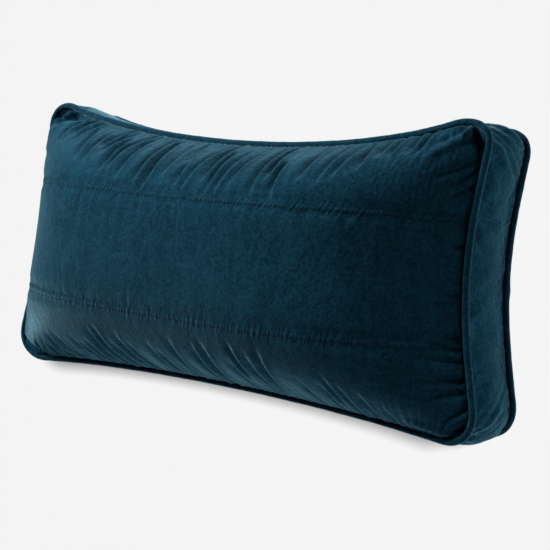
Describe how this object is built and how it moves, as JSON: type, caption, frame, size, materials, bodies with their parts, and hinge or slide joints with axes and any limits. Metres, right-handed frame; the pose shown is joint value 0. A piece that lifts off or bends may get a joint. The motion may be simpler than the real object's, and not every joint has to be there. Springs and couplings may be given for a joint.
{
  "type": "body pillow",
  "caption": "Long boxed body pillow lying on its back, with a crowned front of seamed strips, drawn-in sides, soft folds and corded welts round both panels.",
  "frame": {"origin": "middle of the footprint, on the surface that the pillow lies on", "axes": "+X along the pillow's length to the right as its front is seen, +Y up the face to the top edge, +Z out of the front face"},
  "size_m": [0.9198, 0.4402, 0.3087],
  "materials": {
    "velvet": "cut-pile velvet, deep teal",
    "welt_velvet": "bias-cut velvet over a cord, deep teal"
  },
  "bodies": {
    "root": {"cushion": "velvet", "front_welt": "welt_velvet", "back_welt": "welt_velvet"}
  },
  "joints": []
}
